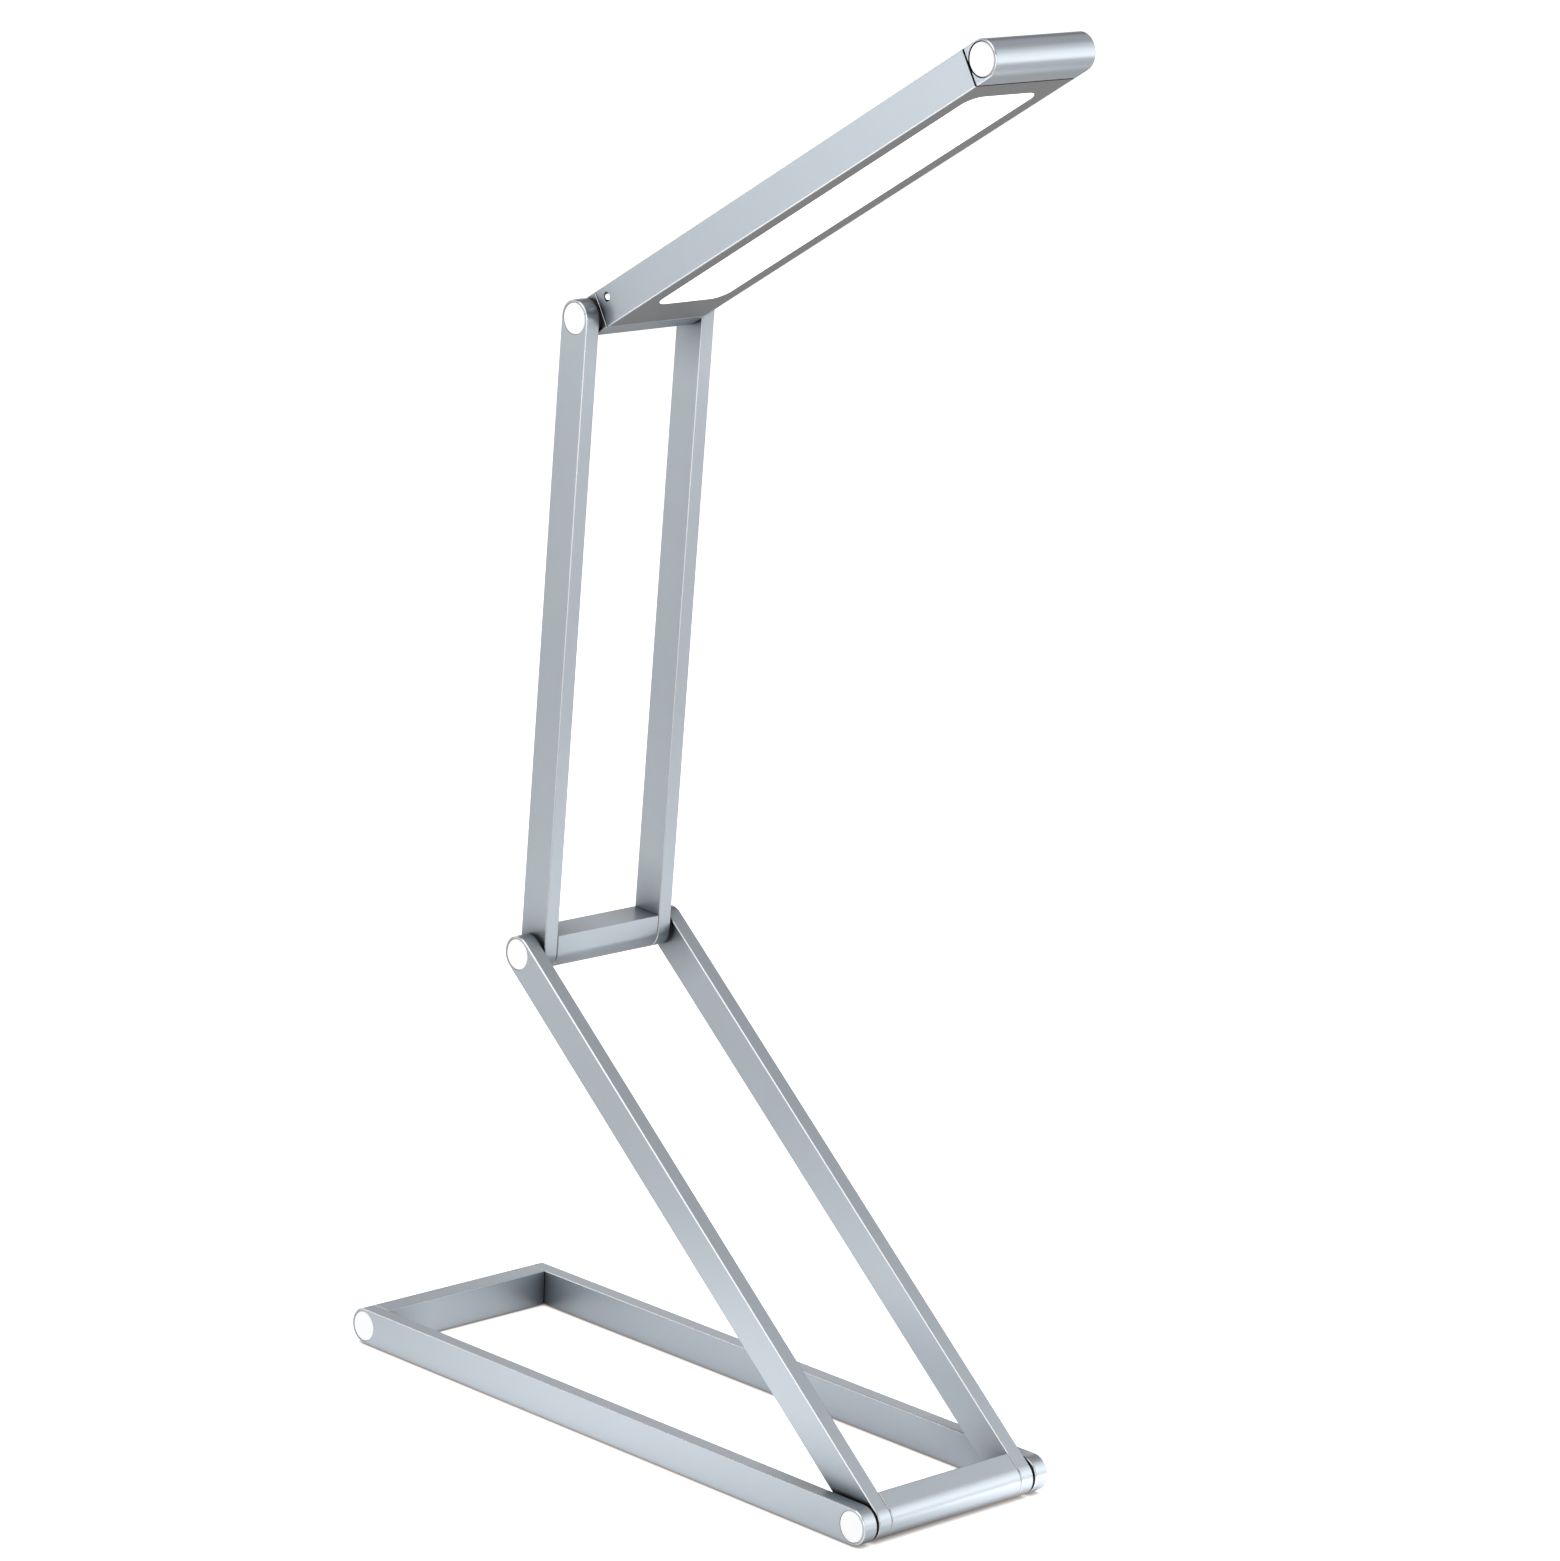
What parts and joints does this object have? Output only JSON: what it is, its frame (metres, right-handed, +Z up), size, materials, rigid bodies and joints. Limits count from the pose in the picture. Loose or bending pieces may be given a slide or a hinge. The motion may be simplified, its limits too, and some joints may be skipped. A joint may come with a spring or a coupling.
{
  "type": "folding led table lamp",
  "caption": "Rechargeable LED table lamp of nested flat aluminium frames: a base, two hinged arms and a flat light head that fold into one flat bar.",
  "frame": {"origin": "on the table, at the middle of the lamp's outline seen from above", "axes": "+X from the rear of the base to the front, the way the head points; +Y to the lamp's left, along every hinge axis; +Z up"},
  "size_m": [0.256, 0.08, 0.4613],
  "materials": {
    "anodised_aluminium": "satin anodised",
    "steel": "zinc plated",
    "white_cap": "gloss white",
    "black_nylon": "moulded",
    "silicone": "matt",
    "bezel_grey": "painted silver grey",
    "opal": "opal, lit from behind",
    "white_plastic": "moulded white",
    "white_board": "white coated circuit board",
    "led": "phosphor",
    "foam": "foam",
    "foil_cell": "pouch foil",
    "green_board": "solder mask"
  },
  "bodies": {
    "base": {"base_side_bar_left": "anodised_aluminium", "base_side_bar_right": "anodised_aluminium", "base_cross_bar": "anodised_aluminium", "base_dowels": "steel", "base_end_screws": "steel", "base_end_caps": "white_cap", "base_hinge_caps": "white_cap", "base_hinge_bushes": "black_nylon", "foot_pads": "silicone"},
    "lower_arm": {"lower_arm_bar_left": "anodised_aluminium", "lower_arm_bar_right": "anodised_aluminium", "lower_arm_cross_bar": "anodised_aluminium", "lower_arm_dowels": "steel", "base_hinge_screws": "steel", "base_hinge_springs": "steel", "middle_hinge_caps": "white_cap", "middle_hinge_bushes": "black_nylon"},
    "upper_arm": {"upper_arm_bar_left": "anodised_aluminium", "upper_arm_bar_right": "anodised_aluminium", "upper_arm_cross_bar": "anodised_aluminium", "upper_arm_dowels": "steel", "middle_hinge_screws": "steel", "middle_hinge_springs": "steel", "head_hinge_caps": "white_cap", "head_hinge_bushes": "black_nylon"},
    "head": {"head_hinge_block": "anodised_aluminium", "head_hinge_screws": "steel", "head_hinge_springs": "steel", "head_shell": "anodised_aluminium", "bezel": "bezel_grey", "diffuser": "opal", "reflector_frame": "white_plastic", "led_board": "white_board", "leds": "led", "battery_foam": "foam", "battery_cell": "foil_cell", "control_board": "green_board", "usb_socket": "steel", "indicator_sleeve": "black_nylon", "indicator_lens": "opal", "head_tip": "anodised_aluminium", "tip_cap": "white_cap", "switch_housing": "black_nylon", "switch_board": "green_board"},
    "button": {"power_button": "white_cap", "switch_plunger": "black_nylon"}
  },
  "joints": [
    {"name": "base_hinge", "type": "hinge", "parent": "base", "child": "lower_arm", "pos_m": [0.11301, 0, 0.0064], "axis": [0, 1, 0], "range_deg": [-36.5, 70]},
    {"name": "middle_hinge", "type": "hinge", "parent": "lower_arm", "child": "upper_arm", "pos_m": [-0.05659, 0, 0.14871], "axis": [0, 1, 0], "range_deg": [-53.2, 114]},
    {"name": "head_hinge", "type": "hinge", "parent": "upper_arm", "child": "head", "pos_m": [-0.04499, 0, 0.35619], "axis": [0, 1, 0], "range_deg": [-56.1, 123.9]},
    {"name": "power_press", "type": "slide", "parent": "head", "child": "button", "axis": [0, 1, 0], "range_m": [0, 0.0006], "stiffness_N_per_m": 800, "springref_m": -0.0005}
  ]
}
